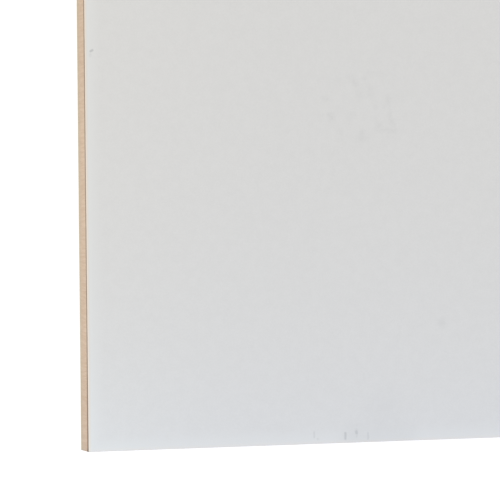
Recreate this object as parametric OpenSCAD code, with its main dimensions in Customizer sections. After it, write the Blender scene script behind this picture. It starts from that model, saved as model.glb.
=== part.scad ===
// Wall cladding panel: a decorative high-pressure laminate bonded to one face of an MDF board.
// The panel lies on its back with its decorative face up. The origin is the centre of the back face,
// +X runs across the sheet, +Y along it and +Z out of the decorative face.

/* [Sheet] */
// Length of the sheet, along Y
sheet_length = 2440; // [600:10:3050]
// Width of the sheet, along X
sheet_width = 1220; // [300:10:1525]

/* [Core board] */
// Thickness of the MDF core
core_thickness = 9; // [4:0.5:25]
// Width and depth of the easing sanded along the core's four back edges
back_easing = 0.4; // [0.1:0.1:1.5]

/* [Face laminate] */
// Thickness of the laminate: its kraft layers and the decorative paper on them
laminate_thickness = 1; // [0.6:0.1:2]
// Depth of the bevel that the trimming cutter leaves along the laminate's front edges
trim_depth = 0.25; // [0.1:0.05:0.4]
// Slope of that bevel, measured down from the decorative face, in degrees
trim_slope = 60; // [30:5:75]

/* [Hidden] */

// The laminate is bonded face to face, so it starts where the core ends.
bond_line = core_thickness;
panel_thickness = core_thickness + laminate_thickness;
trim_width = trim_depth / tan(trim_slope);

// Cross-section of the core, `span` wide and centred, with both back edges eased.
module core_section(span) {
    half = span / 2;
    polygon([
        [-half + back_easing, 0],
        [half - back_easing, 0],
        [half, back_easing],
        [half, bond_line],
        [-half, bond_line],
        [-half, back_easing]
    ]);
}

// Cross-section of the laminate, `span` wide and centred, trimmed flush with the core.
module laminate_section(span) {
    half = span / 2;
    polygon([
        [-half, bond_line],
        [half, bond_line],
        [half, panel_thickness - trim_depth],
        [half - trim_width, panel_thickness],
        [-half + trim_width, panel_thickness],
        [-half, panel_thickness - trim_depth]
    ]);
}

// Runs a cross-section along the sheet, so that its edge shape follows the two long edges.
module run_along_length() {
    rotate([90, 0, 0])
        linear_extrude(sheet_length, center = true)
            children();
}

// Runs a cross-section across the sheet, so that its edge shape follows the two short edges.
module run_across_width() {
    rotate([90, 0, 90])
        linear_extrude(sheet_width, center = true)
            children();
}

// The board shares the volume of both runs, so its edge shapes meet in mitres at the four corners.
module core_board() {
    color("burlywood")
        intersection() {
            run_along_length() core_section(sheet_width);
            run_across_width() core_section(sheet_length);
        }
}

// The laminate is made in the same way, with its bevel mitred at the corners.
module face_laminate() {
    color("whitesmoke")
        intersection() {
            run_along_length() laminate_section(sheet_width);
            run_across_width() laminate_section(sheet_length);
        }
}

core_board();
face_laminate();
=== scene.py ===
import math

import bmesh
import bpy
from mathutils import Matrix, Vector


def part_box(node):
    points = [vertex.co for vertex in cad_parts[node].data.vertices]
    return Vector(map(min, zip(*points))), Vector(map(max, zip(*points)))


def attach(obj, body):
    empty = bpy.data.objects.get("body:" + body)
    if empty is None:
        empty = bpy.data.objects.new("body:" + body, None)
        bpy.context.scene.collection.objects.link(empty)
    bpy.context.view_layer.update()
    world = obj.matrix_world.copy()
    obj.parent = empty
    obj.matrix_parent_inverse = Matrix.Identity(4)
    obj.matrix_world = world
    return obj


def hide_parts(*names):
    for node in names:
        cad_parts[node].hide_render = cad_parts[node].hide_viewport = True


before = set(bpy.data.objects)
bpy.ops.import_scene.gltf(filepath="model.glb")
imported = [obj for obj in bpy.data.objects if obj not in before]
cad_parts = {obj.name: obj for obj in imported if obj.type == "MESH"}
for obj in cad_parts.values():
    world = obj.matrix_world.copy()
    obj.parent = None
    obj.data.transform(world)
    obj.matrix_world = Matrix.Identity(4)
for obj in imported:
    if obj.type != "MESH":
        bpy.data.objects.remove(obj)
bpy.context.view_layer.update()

# --- Core board ---------------------------------------------------------------------------------
# A sheet of medium-density fibreboard, which makes nine tenths of the panel's thickness. Both its
# faces are sanded and its edges are sawn square and left bare, so the pressed fibre shows. The
# arrises round the back are eased by hand, so that they don't bruise.

MM = 0.001
core_low, core_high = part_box("core_board")
back_easing = 0.4 * MM
easing_steps = 3
easing_roundness = 0.5

# How a slab is divided: a narrow strip along each edge, then cells of about this size. Two lengths
# that differ by less than a hair are the same.
margin_strip = 8 * MM
mesh_cell = 40 * MM
hair = 1e-6

# Sawn fibre: its two tones, and the grains that mix them, each with its size and weight.
sawn_pale = (227, 206, 185)
sawn_dark = (192, 164, 139)
fibre_size = 0.35 * MM
fibre_stretch = (1, 1, 0.5)
fibre_range = (0.25, 0.75)
fibre_weight = 0.46
fleck_size = 0.9 * MM
fleck_stretch = (1, 1, 0.4)
fleck_range = (0.56, 0.74)
fleck_weight = 0.16
cloud_size = 45 * MM
cloud_weight = 0.12
stroke_width = 0.7 * MM
stroke_stretch = (1, 1, 9)
sanding_width = 0.8 * MM
sanding_stretch = (1, 90, 1)
marks_weight = 0.26
marks_depth = 0.03 * MM
grain_range = (0.3, 0.7)
rough_range = (0.2, 0.8)
sawn_roughness = (0.80, 0.93)
sawn_gloss = 0.25

# How squarely the board faces up or down where the sanding lines take over from the saw's strokes.
back_facing = (0.5, 0.8)

# A greyer tone towards the back, how far up it reaches, and how much of it shows at most.
back_grey = (184, 184, 170)
greying_depth = 4.8 * MM
edge_greying = 0.6
back_greying = 0.25

# The glue soaks a little way into the edge. By the bottom left corner it has run and stained the fibre
# brown, and the very tip of that corner is darker still, nearly black.
glue_grey = (120, 108, 96)
glue_depth = 0.6 * MM
glue_share = 0.3
stain_brown = (136, 86, 56)
stain_depth = 1.5 * MM
stain_length = 45 * MM
stain_share = (0.07, 0.66)
tip_black = (46, 34, 26)
tip_length = 1.5 * MM
tip_share = (0.15, 0.7)


def cut_positions(low, high, near_edge):
    """Where a slab is divided from low to high: at each distance in near_edge from either end, and
    about every mesh_cell between them."""
    inner_low = low + near_edge[-1]
    inner_high = high - near_edge[-1]
    cells = round((inner_high - inner_low) / mesh_cell)
    middle = [inner_low + (inner_high - inner_low) * i / cells for i in range(1, cells)]
    return [low + d for d in near_edge] + middle + [high - d for d in reversed(near_edge)]


def slab(low, high, near_edge, levels):
    """A closed slab of quads, divided on its faces by cut_positions and through its thickness at
    each of levels."""
    mesh = bmesh.new()
    xs = cut_positions(low.x, high.x, near_edge)
    ys = cut_positions(low.y, high.y, near_edge)
    last_x, last_y, last_z = len(xs) - 1, len(ys) - 1, len(levels) - 1
    made = {}

    def point(i, j, k):
        if (i, j, k) not in made:
            made[i, j, k] = mesh.verts.new((xs[i], ys[j], levels[k]))
        return made[i, j, k]

    for i in range(last_x):
        for j in range(last_y):
            square = [(i, j), (i + 1, j), (i + 1, j + 1), (i, j + 1)]
            mesh.faces.new([point(a, b, last_z) for a, b in square])
            mesh.faces.new([point(a, b, 0) for a, b in reversed(square)])
    rim = [(i, 0) for i in range(last_x)] + [(last_x, j) for j in range(last_y)]
    rim += [(i, last_y) for i in range(last_x, 0, -1)] + [(0, j) for j in range(last_y, 0, -1)]
    for (i, j), (m, n) in zip(rim, rim[1:] + rim[:1]):
        for k in range(last_z):
            mesh.faces.new([point(i, j, k), point(m, n, k), point(m, n, k + 1), point(i, j, k + 1)])
    return mesh


def back_arrises(mesh):
    """The edges between the slab's back and its sides."""
    mesh.normal_update()
    return [e for e in mesh.edges if sorted(round(f.normal.z) for f in e.link_faces) == [-1, 0]]


def finished_piece(name, mesh, finish, node):
    """Makes the mesh an object that stands for the node and rides on the panel's one body."""
    data = bpy.data.meshes.new(name)
    mesh.to_mesh(data)
    mesh.free()
    data.materials.append(finish)
    piece = bpy.data.objects.new(name, data)
    bpy.context.scene.collection.objects.link(piece)
    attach(piece, "root")
    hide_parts(node)
    return piece


def paint(chart):
    """A colour from a paint chart, 0 to 255, as the shader wants it."""
    parts = [c / 255 for c in chart]
    return tuple(c / 12.92 if c <= 0.04045 else ((c + 0.055) / 1.055) ** 2.4 for c in parts) + (1.0,)


class Finish:
    """A surface finish as a list of steps. Each step adds one node and gives the socket it makes."""

    def __init__(self, name):
        self.material = bpy.data.materials.new(name)
        self.material.use_nodes = True
        self.tree = self.material.node_tree
        self.shader = self.tree.nodes["Principled BSDF"]
        self.place = self.step("ShaderNodeTexCoord", "Object")

    def step(self, kind, output, inputs=None, **settings):
        node = self.tree.nodes.new(kind)
        for key, value in settings.items():
            setattr(node, key, value)
        for key, value in (inputs or {}).items():
            self.feed(node.inputs[key], value)
        return node.outputs[output]

    def feed(self, socket, value):
        if isinstance(value, bpy.types.NodeSocket):
            self.tree.links.new(value, socket)
        else:
            socket.default_value = value

    def shade(self, name, value):
        self.feed(self.shader.inputs[name], value)

    def math(self, operation, a, b=0.0, clamp=False):
        return self.step("ShaderNodeMath", "Value", {0: a, 1: b}, operation=operation, use_clamp=clamp)

    def vector(self, operation, a, b=(0, 0, 0), output="Vector"):
        return self.step("ShaderNodeVectorMath", output, {0: a, 1: b}, operation=operation)

    def part(self, vector, axis):
        return self.step("ShaderNodeSeparateXYZ", axis, {0: vector})

    def grain(self, size, stretch=(1, 1, 1), detail=2.0):
        """Cloudy grain from 0 to 1, of about that size, stretched along each axis."""
        where = self.vector("MULTIPLY", self.place, tuple(1 / s for s in stretch))
        inputs = {"Vector": where, "Scale": 1 / size, "Detail": detail, "Roughness": 0.6}
        return self.step("ShaderNodeTexNoise", "Fac", inputs)

    def ramp(self, value, low, high, to_low=0.0, to_high=1.0):
        """Carries value smoothly from the range low..high to to_low..to_high, and holds it there."""
        inputs = {"Value": value, "From Min": low, "From Max": high, "To Min": to_low, "To Max": to_high}
        return self.step("ShaderNodeMapRange", "Result", inputs, interpolation_type="SMOOTHSTEP")

    def clear(self, grain):
        """The grain with more contrast: the range where most of it lies is spread from 0 to 1."""
        return self.ramp(grain, *grain_range)

    def blend(self, share, a, b):
        """Colour a, giving way to colour b as share goes from 0 to 1."""
        node = self.tree.nodes.new("ShaderNodeMix")
        node.data_type = "RGBA"
        colours = [s for s in node.inputs if s.type == "RGBA"]
        self.feed(node.inputs["Factor"], share)
        self.feed(colours[0], a)
        self.feed(colours[1], b)
        return next(s for s in node.outputs if s.type == "RGBA")

    def relief(self, height, depth, under=None):
        """A surface raised by depth where height is 1, on top of the relief under it."""
        inputs = {"Height": height, "Distance": depth}
        if under is not None:
            inputs["Normal"] = under
        return self.step("ShaderNodeBump", "Normal", inputs)

    def weighted(self, *shares):
        """The sum of (value, weight) pairs, held between 0 and 1."""
        total = 0.0
        for value, weight in shares:
            total = self.math("ADD", self.math("MULTIPLY", value, weight), total)
        return self.math("ADD", total, 0.0, clamp=True)

    def near_corner(self, reach):
        """1 at the panel's bottom left corner, fading to 0 at reach from it."""
        away = self.vector("SUBTRACT", self.place, (core_low.x, core_low.y, 0))
        flat = self.vector("MULTIPLY", away, (1, 1, 0))
        return self.ramp(self.vector("LENGTH", flat, output="Value"), 0.0, reach, 1.0, 0.0)


def sawn_fibreboard():
    """Pressed wood fibre: greyer towards the back, with the saw's fine upright strokes on the edges and
    long sanding lines on the back."""
    f = Finish("sawn_fibreboard")
    height = f.part(f.place, "Z")
    facing = f.math("ABSOLUTE", f.part(f.step("ShaderNodeTexCoord", "Normal"), "Z"))
    on_back = f.ramp(facing, *back_facing)
    fibre = f.grain(fibre_size, fibre_stretch, detail=3.0)
    fleck = f.ramp(f.grain(fleck_size, fleck_stretch, detail=3.0), *fleck_range)
    cloud = f.clear(f.grain(cloud_size))
    stroke = f.clear(f.grain(stroke_width, stroke_stretch, detail=1.0))
    sanding = f.clear(f.grain(sanding_width, sanding_stretch))
    marks = f.step("ShaderNodeMix", "Result", {"Factor": on_back, "A": stroke, "B": sanding})
    fibre_tone = (f.ramp(fibre, *fibre_range), fibre_weight)
    tone = f.weighted(fibre_tone, (fleck, fleck_weight), (cloud, cloud_weight), (marks, marks_weight))
    colour = f.blend(tone, paint(sawn_pale), paint(sawn_dark))

    most_greying = f.ramp(on_back, 0.0, 1.0, edge_greying, back_greying)
    greying = f.ramp(height, core_low.z, core_low.z + greying_depth, most_greying, 0.0)
    colour = f.blend(greying, colour, paint(back_grey))
    soaked = f.ramp(height, core_high.z - glue_depth, core_high.z, 0.0, glue_share)
    colour = f.blend(soaked, colour, paint(glue_grey))
    run = f.ramp(height, core_high.z - stain_depth, core_high.z)
    stain = f.math("MULTIPLY", f.ramp(run, 0.0, 1.0, *stain_share), f.near_corner(stain_length))
    colour = f.blend(stain, colour, paint(stain_brown))
    dark_tip = f.math("MULTIPLY", f.ramp(run, 0.0, 1.0, *tip_share), f.near_corner(tip_length))
    f.shade("Base Color", f.blend(dark_tip, colour, paint(tip_black)))

    f.shade("Roughness", f.ramp(fibre, *rough_range, *sawn_roughness))
    f.shade("Specular IOR Level", sawn_gloss)
    f.shade("Normal", f.relief(marks, marks_depth, under=f.relief(fibre, marks_depth)))
    return f.material


core_mesh = slab(core_low, core_high, [0.0, margin_strip], [core_low.z, core_high.z])
rounding = {"offset": back_easing, "segments": easing_steps, "profile": easing_roundness}
bmesh.ops.bevel(core_mesh, geom=back_arrises(core_mesh), affect="EDGES", **rounding)
finished_piece("core_board_sawn", core_mesh, sawn_fibreboard(), "core_board")

# --- Laminate: kraft layers -----------------------------------------------------------------------
# Sheets of brown kraft paper, soaked in phenolic resin and pressed solid. They back the decorative
# paper and are glued to the board. The trimming cutter leaves them bare at the edge, where they show
# as the thin dark line round the panel.

laminate_low, laminate_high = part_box("face_laminate")
trim_depth = 0.25 * MM
trim_slope = math.radians(60)
decor_thickness = 0.14 * MM
decor_foot = laminate_high.z - decor_thickness
bevel_start = laminate_high.z - trim_depth
decor_inset = (decor_foot - bevel_start) / math.tan(trim_slope)

kraft_pale = (158, 133, 115)
kraft_dark = (126, 102, 84)
layer_height = 0.18 * MM
layer_stretch = (14, 14, 1)
layer_weight = 0.7
layer_relief = 0.02 * MM
resin_patch = 14 * MM
patch_weight = 0.3
kraft_roughness = (0.5, 0.65)
kraft_grimy = (54, 37, 27)
stain_grime = 0.5
tip_darkening = 0.4


def kraft_edge():
    """Resin-soaked brown paper, cut across: fine layers with a dull shine, grimy by the stain."""
    f = Finish("kraft_edge")
    layers = f.grain(layer_height, layer_stretch, detail=3.0)
    patch = f.grain(resin_patch, detail=4.0)
    tone = f.weighted((f.clear(layers), layer_weight), (f.clear(patch), patch_weight))
    colour = f.blend(tone, paint(kraft_pale), paint(kraft_dark))
    by_stain = (f.near_corner(stain_length), stain_grime)
    by_dark_tip = (f.near_corner(tip_length), tip_darkening)
    f.shade("Base Color", f.blend(f.weighted(by_stain, by_dark_tip), colour, paint(kraft_grimy)))
    f.shade("Roughness", f.ramp(layers, *grain_range, *kraft_roughness))
    f.shade("Normal", f.relief(layers, layer_relief))
    return f.material


def lean_in(mesh, above, reach_x, reach_y, outline):
    """Draws the outline's points that lie above a height in to reach_x and reach_y."""
    for v in mesh.verts:
        if v.co.z > above:
            for axis, reach in ((0, reach_x), (1, reach_y)):
                if abs(v.co[axis]) > outline[axis] - hair:
                    v.co[axis] = math.copysign(reach, v.co[axis])


kraft_top = Vector((laminate_high.x, laminate_high.y, decor_foot))
kraft_levels = [laminate_low.z, bevel_start, decor_foot]
kraft_mesh = slab(laminate_low, kraft_top, [0.0, margin_strip], kraft_levels)
kraft_reach = (laminate_high.x - decor_inset, laminate_high.y - decor_inset)
lean_in(kraft_mesh, bevel_start + hair, *kraft_reach, laminate_high)
finished_piece("laminate_kraft_layers", kraft_mesh, kraft_edge(), "face_laminate")

# --- Laminate: decorative paper -------------------------------------------------------------------
# The white melamine-soaked paper that is the panel's finished face. The press plate gives it a fine
# satin grain, and the trimming cutter rolls its rim over. A painted highlight lightens the rim, and a
# narrow cream band in it is both a slight yellowing and painted highlight, most along the two long
# edges. Handling has left a few scuffs near the bottom left corner and a faint smudge, and painted
# shade darkens two clouds round the scuffs.

# The rim's profile: distance in from the outline and depth below the face, both in millimetres.
rim_profile = [(0.10, 0.087), (0.16, 0.050), (0.26, 0.026), (0.5, 0.014), (1.0, 0.006), (3.0, 0.0)]

# Whatever of the paper faces up by more than this is shaded smooth, so that its rim looks round.
smooth_above = 0.3

# The paper: its two tones, and the grains that mix them.
decor_white = (218, 218, 218)
decor_shade = (214, 214, 214)
mottle_size = 3 * MM
mottle_weight = 0.45
press_size = 0.6 * MM
press_weight = 0.55
press_depth = 0.003 * MM
sag_size = 260 * MM
sag_depth = 0.2 * MM
sheen_range = (0.2, 0.8)
satin_roughness = (0.36, 0.42)

# The rim's colours: a pale band of painted highlight, and a narrow cream one in it that is a slight
# yellowing and painted highlight. Both are weaker at the two ends.
rim_highlight_paint = (220, 221, 221)
pale_reach = 6.5 * MM
pale_at_ends = 0.9
rim_cream_and_highlight = (226, 214, 201)
cream_reach = 1.3 * MM
cream_at_ends = 0.3

# The marks' colour, which also paints the shade of two dull clouds, the extra roughness and the depth
# that they have, and how far their outlines wander (mm) and how softly they fade (as a share of their
# width).
scuff_and_shade_grey = (82, 88, 100)
scuff_roughness = 0.5
scuff_depth = 0.02 * MM
wander_scale = 0.9
blot_wander = 2.2
blot_blur = 0.5
scuff_wander = 0.4
scuff_blur = 0.3

# Scuffs: distance from the left edge and from the bottom edge, length and width (mm), lean
# clockwise from upright (degrees), and how much of scuff_and_shade_grey shows.
scuffs = [
    (80.8, 3.2, 2.4, 0.69, 0, 0.11),
    (82.1, 1.6, 0.8, 0.92, 0, 0.09),
    (92.3, 2.4, 2.8, 0.85, 0, 0.2),
    (96.4, 3.5, 1.5, 1.03, 0, 0.2),
    (96.4, 4.3, 1.2, 1.5, 0, 0.06),
    (96.5, 2.4, 1.6, 0.69, 0, 0.06),
    (100.7, 2.1, 2.7, 0.69, 0, 0.1),
    (2.4, 135.2, 1.5, 0.75, 58, 0.27),
    (1.9, 133.7, 1.4, 0.92, 0, 0.07),
]

# The smudge's blots, in the same terms. Then come a faint spot lower down, and two dull clouds of
# painted shade round the scuffs by the bottom edge.
blots_and_shade = [
    (97.0, 125.0, 3.5, 2.0, -25, 0.051),
    (98.5, 121.5, 4.5, 1.8, -35, 0.027),
    (94.6, 127.2, 2.5, 1.5, -60, 0.027),
    (100.5, 126.7, 2.0, 1.5, -80, 0.045),
    (104.8, 128.0, 6.0, 2.2, -83, 0.021),
    (102.8, 122.0, 4.5, 1.8, -5, 0.03),
    (109.3, 119.0, 4.0, 1.9, -5, 0.039),
    (109.8, 115.0, 5.0, 1.5, 0, 0.033),
    (110.9, 111.2, 2.8, 2.0, -28, 0.054),
    (106.0, 110.5, 2.4, 2.2, -30, 0.045),
    (108.5, 108.7, 8.0, 1.6, -87, 0.042),
    (88.0, 113.4, 3.2, 2.0, -28, 0.068),
    (86.0, 119.6, 2.8, 1.9, -52, 0.036),
    (91.4, 107.9, 3.0, 2.2, -70, 0.027),
    (99.4, 106.8, 4.0, 2.2, 0, 0.057),
    (99.2, 106.3, 6.0, 3.8, -80, 0.021),
    (95.4, 113.9, 4.0, 2.2, 85, 0.027),
    (104.6, 116.7, 1.8, 2.0, -50, 0.033),
    (107.9, 117.1, 2.2, 1.5, -10, 0.033),
    (90.6, 126.2, 2.6, 1.6, -20, 0.024),
    (128.9, 40.9, 2.8, 3.2, 0, 0.051),
    # Two dull clouds of painted shade round the scuffs by the bottom edge.
    (104.5, 1.0, 27.0, 9.0, 90, 0.053),
    (106.5, 9.0, 16.0, 12.0, 0, 0.028),
]


def marks_on(f, mm, marks, blur):
    """The strength of those marks at each place, as rounded strokes whose edges fade over a share
    of their width."""
    strength = 0.0
    for x, y, length, width, lean, share in marks:
        turn = {"Vector": mm, "Center": (x, y, 0), "Axis": (0, 0, 1), "Angle": math.radians(lean)}
        turned = f.step("ShaderNodeVectorRotate", "Vector", turn, rotation_type="AXIS_ANGLE")
        away = f.vector("ABSOLUTE", f.vector("SUBTRACT", turned, (x, y, 0)))
        past_end = f.vector("MAXIMUM", f.vector("SUBTRACT", away, (0, (length - width) / 2, 0)))
        flat = f.vector("MULTIPLY", past_end, (1, 1, 0))
        gap = f.vector("LENGTH", flat, output="Value")
        stroke = f.ramp(gap, width * (0.5 - blur), width * (0.5 + blur), share, 0.0)
        strength = f.math("MAXIMUM", stroke, strength)
    return strength


def near_rim(f, reach, at_ends):
    """1 at the face's two long edges and at_ends at its two ends, fading to 0 at reach from them."""
    from_middle = f.vector("ABSOLUTE", f.place)
    long_edges = f.ramp(f.part(from_middle, "X"), laminate_high.x - reach, laminate_high.x)
    ends = f.ramp(f.part(from_middle, "Y"), laminate_high.y - reach, laminate_high.y, 0.0, at_ends)
    return f.math("MAXIMUM", long_edges, ends)


def satin_decor():
    """Off-white satin melamine with the press plate's fine grain, scuffs and a smudge, a painted
    highlight along the rim and painted shade in two clouds round the scuffs.
    """
    f = Finish("satin_decor")
    press = f.grain(press_size)
    mottle = f.grain(mottle_size, detail=4.0)
    tone = f.weighted((f.clear(mottle), mottle_weight), (f.clear(press), press_weight))
    colour = f.blend(tone, paint(decor_white), paint(decor_shade))
    # Painted highlight: a pale band along the rim, and in it a narrow cream band that is also a slight
    # yellowing.
    colour = f.blend(near_rim(f, pale_reach, pale_at_ends), colour, paint(rim_highlight_paint))
    colour = f.blend(near_rim(f, cream_reach, cream_at_ends), colour, paint(rim_cream_and_highlight))

    from_corner = f.vector("SUBTRACT", f.place, (laminate_low.x, laminate_low.y, 0))
    mm = f.step("ShaderNodeVectorMath", "Vector", {0: from_corner, "Scale": 1 / MM}, operation="SCALE")
    noise = {"Vector": mm, "Scale": wander_scale, "Detail": 2.0}
    either_way = f.vector("SUBTRACT", f.step("ShaderNodeTexNoise", "Color", noise), (0.5, 0.5, 0.5))
    nudge = f.vector("MULTIPLY", either_way, (blot_wander, blot_wander, 0))
    smudge_and_shade = marks_on(f, f.vector("ADD", mm, nudge), blots_and_shade, blot_blur)
    nudge = f.vector("MULTIPLY", either_way, (scuff_wander, scuff_wander, 0))
    scuffed = marks_on(f, f.vector("ADD", mm, nudge), scuffs, scuff_blur)
    # The smudge, spot and scuffs, with the painted shade of the two clouds by the bottom edge.
    dirt_and_shade = f.math("ADD", smudge_and_shade, scuffed)
    f.shade("Base Color", f.blend(dirt_and_shade, colour, paint(scuff_and_shade_grey)))

    sheen = f.ramp(tone, *sheen_range, *satin_roughness)
    f.shade("Roughness", f.math("ADD", sheen, f.math("MULTIPLY", dirt_and_shade, scuff_roughness)))
    waves = f.relief(f.grain(sag_size, detail=1.0), sag_depth)
    pearl = f.relief(press, press_depth, under=waves)
    f.shade("Normal", f.relief(scuffed, -scuff_depth, under=pearl))
    return f.material


decor_low = Vector((laminate_low.x + decor_inset, laminate_low.y + decor_inset, decor_foot))
decor_high = Vector((laminate_high.x - decor_inset, laminate_high.y - decor_inset, laminate_high.z))
outer_inset, outer_depth = rim_profile[0]
inner_profile = rim_profile[1:]
rim_cuts = [0.0] + [inset * MM - decor_inset for inset, depth in inner_profile]
decor_mesh = slab(decor_low, decor_high, rim_cuts, [decor_foot, laminate_high.z])
for v in decor_mesh.verts:
    if v.co.z > decor_foot + hair:
        inset = min(laminate_high.x - abs(v.co.x), laminate_high.y - abs(v.co.y))
        depth = max((d for i, d in inner_profile if i * MM > inset - hair), default=0.0)
        v.co.z -= (outer_depth if inset < decor_inset + hair else depth) * MM
rim_reach = [laminate_high[axis] - outer_inset * MM for axis in (0, 1)]
lean_in(decor_mesh, decor_foot + hair, *rim_reach, decor_high)
decor = finished_piece("laminate_decor_face", decor_mesh, satin_decor(), "face_laminate")
for face in decor.data.polygons:
    face.use_smooth = face.normal.z > smooth_above

# --- Floor and background -------------------------------------------------------------------------
# A plain white studio floor that the panel lies on, with the same white all round it. Its glow
# lifts it to white only where it is seen, so it sends no more light and keeps the panel's shadow.

floor_reach = 60.0
floor_grey = (0.6, 0.6, 0.6, 1.0)
floor_lift = 0.50
white = (1.0, 1.0, 1.0, 1.0)


def seen_directly(tree):
    """1 where the camera, a shiny surface or glass sees the material, and 0 where it only sends
    light."""
    path = tree.nodes.new("ShaderNodeLightPath")
    seen = path.outputs["Is Camera Ray"]
    for kind in ("Is Glossy Ray", "Is Transmission Ray"):
        either = tree.nodes.new("ShaderNodeMath")
        either.operation = "MAXIMUM"
        tree.links.new(seen, either.inputs[0])
        tree.links.new(path.outputs[kind], either.inputs[1])
        seen = either.outputs[0]
    return seen


def white_floor():
    """Matt grey paint with a plain white glow over it."""
    floor_paint = bpy.data.materials.new("white_floor")
    floor_paint.use_nodes = True
    tree = floor_paint.node_tree
    tree.nodes.clear()
    matt = tree.nodes.new("ShaderNodeBsdfDiffuse")
    matt.inputs["Color"].default_value = floor_grey
    glow = tree.nodes.new("ShaderNodeEmission")
    glow.inputs["Color"].default_value = white
    lift = tree.nodes.new("ShaderNodeMath")
    lift.operation = "MULTIPLY"
    lift.inputs[1].default_value = floor_lift
    tree.links.new(seen_directly(tree), lift.inputs[0])
    tree.links.new(lift.outputs[0], glow.inputs["Strength"])
    both = tree.nodes.new("ShaderNodeAddShader")
    tree.links.new(matt.outputs[0], both.inputs[0])
    tree.links.new(glow.outputs[0], both.inputs[1])
    surface = tree.nodes.new("ShaderNodeOutputMaterial")
    tree.links.new(both.outputs[0], surface.inputs["Surface"])
    return floor_paint


floor_corners = [(-1, -1), (1, -1), (1, 1), (-1, 1)]
floor_points = [(x * floor_reach, y * floor_reach, core_low.z) for x, y in floor_corners]
floor_mesh = bpy.data.meshes.new("studio_floor")
floor_mesh.from_pydata(floor_points, [], [(0, 1, 2, 3)])
floor_mesh.materials.append(white_floor())
floor = bpy.data.objects.new("studio_floor", floor_mesh)
bpy.context.scene.collection.objects.link(floor)

# --- Light ----------------------------------------------------------------------------------------
# Soft studio light: an even white room, a broad warm key from the lower left, a cool tube low along
# the bottom edge, a weak warm one along the left edge and a tiny cool lamp by the corner between.

room_level = 0.535
key_strength = 1.86
key_colour = (1.0, 0.973, 0.914)
key_breadth = math.radians(40)
key_from = Vector((-0.65, -0.35, 0.75))
tube_width = 40 * MM
tube_overhang = 400 * MM
tube_height = laminate_high.z + 80 * MM
corner_lamp_height = laminate_high.z + 40 * MM

# Each lamp's distance from the panel's edge, its power in watts and its colour.
bottom_gap, bottom_watts, bottom_colour = 160 * MM, 1.25, (0.03, 0.36, 1.0)
left_gap, left_watts, left_colour = 65 * MM, 0.136, (1.0, 0.89, 0.49)
corner_gap, corner_watts, corner_colour = 20 * MM, 0.0020, (0.60, 0.90, 1.0)

room = bpy.data.worlds.new("studio_room")
bpy.context.scene.world = room
room.use_nodes = True
backdrop = room.node_tree.nodes["Background"]
backdrop.inputs["Color"].default_value = white
level = room.node_tree.nodes.new("ShaderNodeMapRange")
level.inputs["To Min"].default_value = room_level
level.inputs["To Max"].default_value = 1.0
room.node_tree.links.new(seen_directly(room.node_tree), level.inputs["Value"])
room.node_tree.links.new(level.outputs["Result"], backdrop.inputs["Strength"])

key_lamp = bpy.data.lights.new("key_light", "SUN")
key_lamp.energy = key_strength
key_lamp.color = key_colour
key_lamp.angle = key_breadth
key = bpy.data.objects.new("key_light", key_lamp)
key.rotation_euler = key_from.to_track_quat("Z", "Y").to_euler()
bpy.context.scene.collection.objects.link(key)


def soft_lamp(name, middle, size_x, size_y, watts, colour):
    """A flat soft lamp that shines down and doesn't show itself."""
    lamp = bpy.data.lights.new(name, "AREA")
    lamp.shape = "RECTANGLE"
    lamp.size = size_x
    lamp.size_y = size_y
    lamp.energy = watts
    lamp.color = colour
    body = bpy.data.objects.new(name, lamp)
    body.location = middle
    body.visible_camera = False
    body.visible_glossy = False
    bpy.context.scene.collection.objects.link(body)


across_length = laminate_high.x - laminate_low.x + 2 * tube_overhang
upward_length = laminate_high.y - laminate_low.y + 2 * tube_overhang
below_panel = (0, laminate_low.y - bottom_gap, tube_height)
left_of_panel = (laminate_low.x - left_gap, 0, tube_height)
by_corner = (laminate_low.x - corner_gap, laminate_low.y - corner_gap, corner_lamp_height)
soft_lamp("bottom_tube", below_panel, across_length, tube_width, bottom_watts, bottom_colour)
soft_lamp("left_tube", left_of_panel, tube_width, upward_length, left_watts, left_colour)
soft_lamp("corner_lamp", by_corner, tube_width, tube_width, corner_watts, corner_colour)

# --- Camera ---------------------------------------------------------------------------------------
# It looks down on the panel's bottom left corner through a long lens, from a little to the left,
# and is turned half a degree clockwise about its line of sight.

aim_from_left = 58.0 * MM
aim_from_bottom = 67.4 * MM
from_left = math.radians(18.38)
from_top = math.radians(0.476)
roll = math.radians(-0.55)
distance = 0.9538
focal_length = 200.0
film_width = 36.0
nearest = 0.05
farthest = 200.0

aim = Vector((laminate_low.x + aim_from_left, laminate_low.y + aim_from_bottom, laminate_high.z))
back = Vector((-math.tan(from_left), math.tan(from_top), 1.0)).normalized()
across = Vector((0.0, 1.0, 0.0)).cross(back).normalized()
upward = back.cross(across)
tilt = Matrix.Rotation(roll, 3, back)
axes = Matrix((tilt @ across, tilt @ upward, back)).transposed()

camera_data = bpy.data.cameras.new("camera")
camera_data.lens = focal_length
camera_data.sensor_width = film_width
camera_data.clip_start = nearest
camera_data.clip_end = farthest
camera = bpy.data.objects.new("camera", camera_data)
camera.matrix_world = Matrix.Translation(aim + back * distance) @ axes.to_4x4()
bpy.context.scene.collection.objects.link(camera)
bpy.context.scene.camera = camera
bpy.context.scene.view_settings.view_transform = "Standard"
